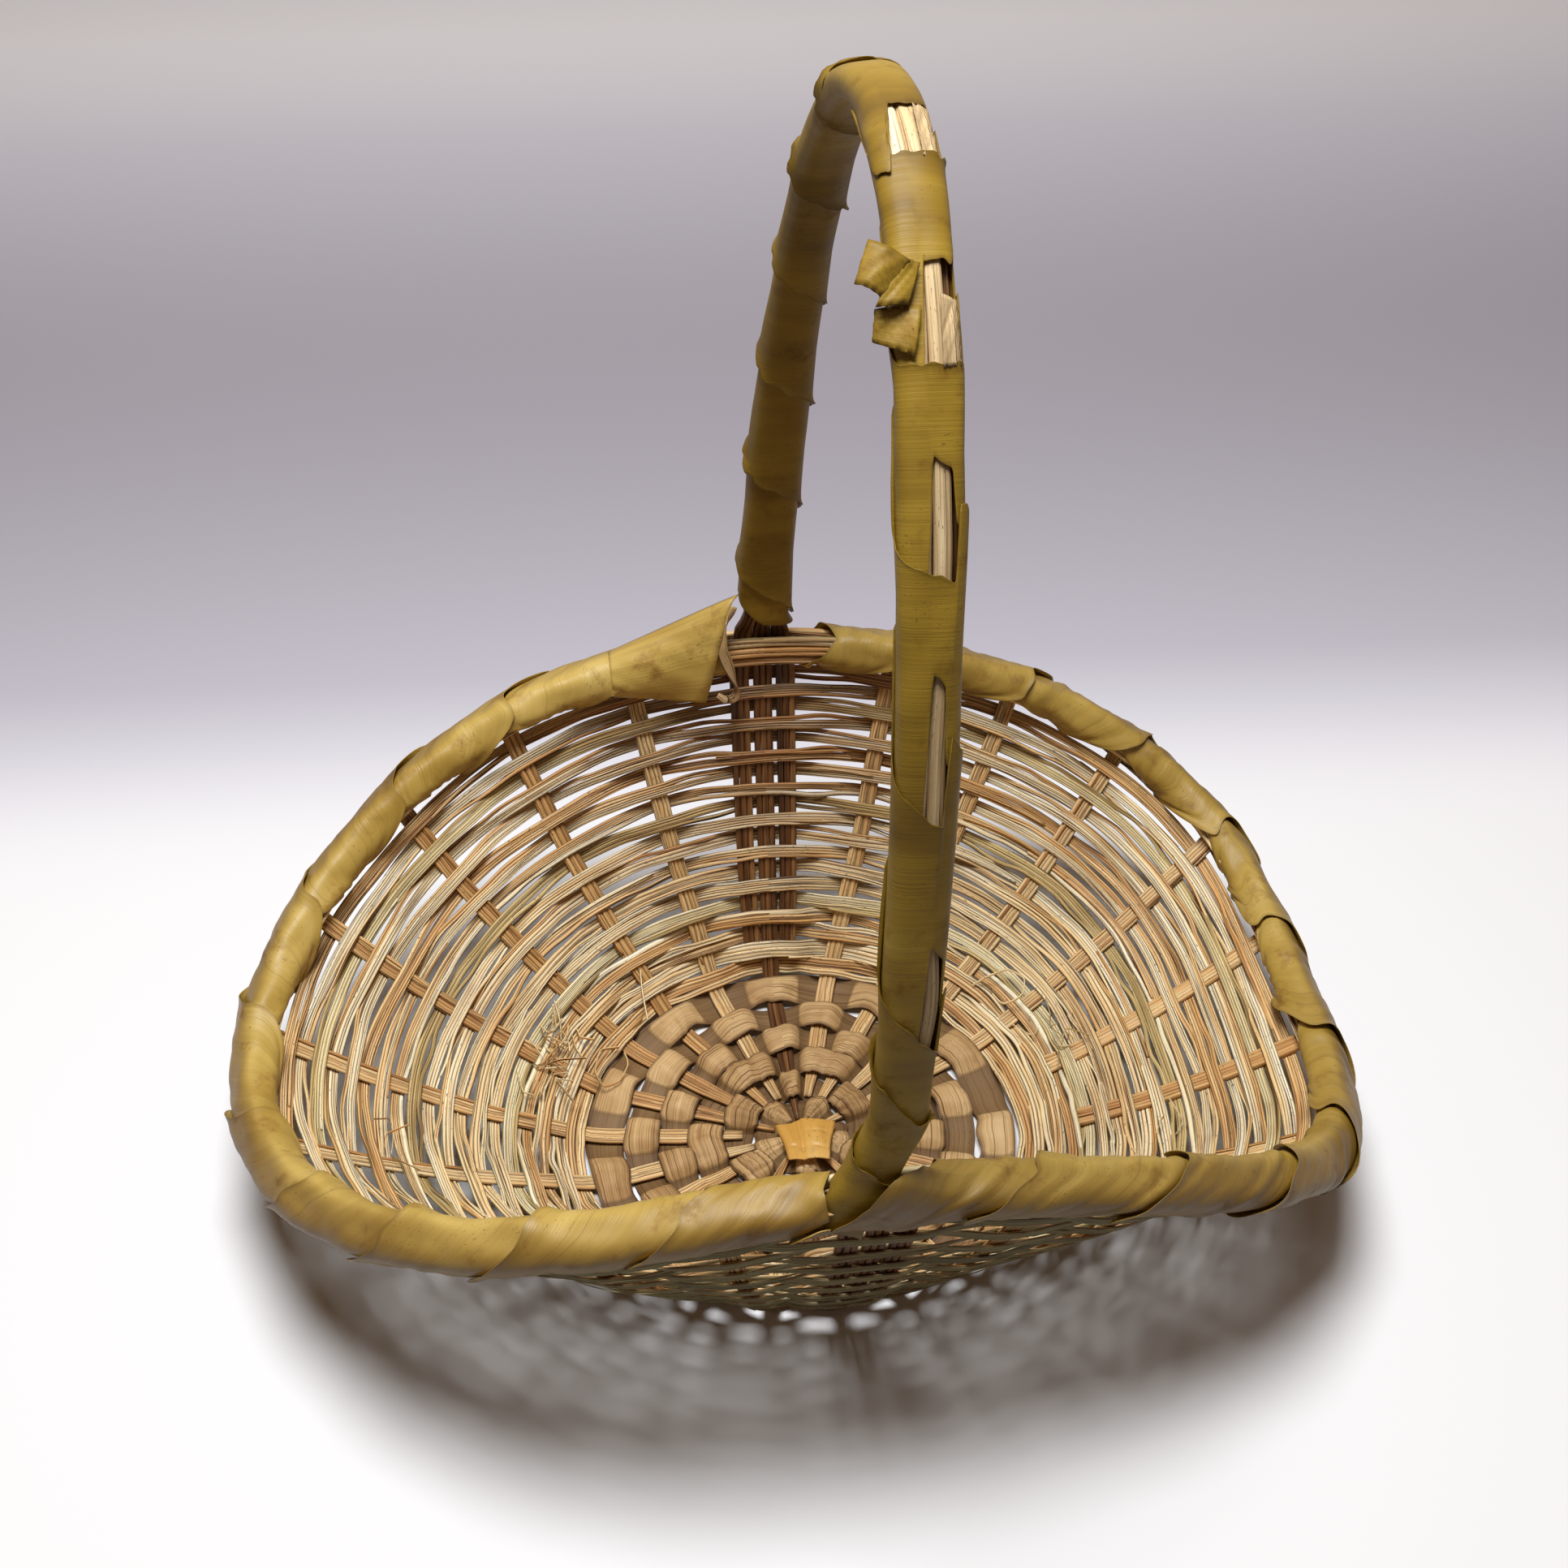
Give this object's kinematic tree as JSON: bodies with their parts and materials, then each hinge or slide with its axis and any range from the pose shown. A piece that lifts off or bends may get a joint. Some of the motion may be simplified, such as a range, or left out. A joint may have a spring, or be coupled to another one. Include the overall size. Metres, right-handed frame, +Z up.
{
  "type": "decorative basket",
  "caption": "Oval flower basket with a tall arched handle, woven from split palm over flat stakes, with a leaf-bound rim and a round base.",
  "frame": {"origin": "on the ground, under the middle of the rim", "axes": "+Z up, +X along the bowl to its right end seen from the front, -Y to the front"},
  "size_m": [0.423, 0.2947, 0.4391],
  "materials": {
    "straw": "dry split palm, satin, fine lengthwise fibre",
    "straw_green": "dry split palm that is still greenish, satin",
    "stake_tan": "dry split palm, tan, satin, fine lengthwise fibre",
    "leaf_brown": "dry fibrous palm leaf, taupe, matt",
    "strip_brown": "dark brown split palm rib, satin, lengthwise fibre",
    "pale_wood": "pale split wood, dry, lengthwise grain",
    "palm_green": "khaki palm leaf ribbon, waxy satin, creased and veined lengthwise",
    "patch_yellow": "dry yellow leaf, satin, folded"
  },
  "bodies": {
    "root": {"stake_01": "stake_tan", "stake_02": "stake_tan", "stake_03": "stake_tan", "stake_04": "stake_tan", "stake_05": "stake_tan", "stake_06": "stake_tan", "stake_07": "stake_tan", "stake_08": "stake_tan", "stake_09": "stake_tan", "stake_10": "stake_tan", "stake_12": "stake_tan", "stake_13": "stake_tan", "stake_14": "stake_tan", "stake_15": "stake_tan", "stake_16": "stake_tan", "stake_17": "stake_tan", "stake_18": "stake_tan", "stake_19": "stake_tan", "stake_20": "stake_tan", "stake_21": "stake_tan", "base_leaf_strip_01": "leaf_brown", "base_leaf_strip_02": "leaf_brown", "base_leaf_strip_03": "leaf_brown", "base_leaf_strip_04": "leaf_brown", "base_leaf_strip_05": "leaf_brown", "base_leaf_strip_06": "leaf_brown", "centre_leaf_patch": "patch_yellow", "wall_weaver_01": "straw", "wall_weaver_02": "straw", "wall_weaver_03": "straw", "wall_weaver_04": "straw", "wall_weaver_05": "straw_green", "wall_weaver_06": "straw", "wall_weaver_07": "straw", "wall_weaver_08": "straw", "wall_weaver_09": "straw", "wall_weaver_10": "straw", "wall_weaver_11": "straw_green", "wall_weaver_12": "straw", "wall_weaver_13": "straw", "wall_weaver_14": "straw", "wall_weaver_15": "straw", "wall_weaver_16": "straw", "wall_weaver_17": "straw_green", "wall_weaver_18": "straw", "wall_weaver_19": "straw", "wall_weaver_20": "straw", "wall_weaver_21": "straw", "rim_reed_low": "straw", "rim_reed_middle": "stake_tan", "rim_reed_top": "straw_green", "rim_outer_hoop": "stake_tan", "handle_strip_right": "strip_brown", "handle_strip_middle": "strip_brown", "handle_strip_left": "strip_brown", "handle_core_stick_right": "pale_wood", "handle_core_stick_left": "pale_wood", "rim_binding_left": "palm_green", "rim_binding_right": "palm_green", "handle_binding": "palm_green"}
  },
  "joints": []
}
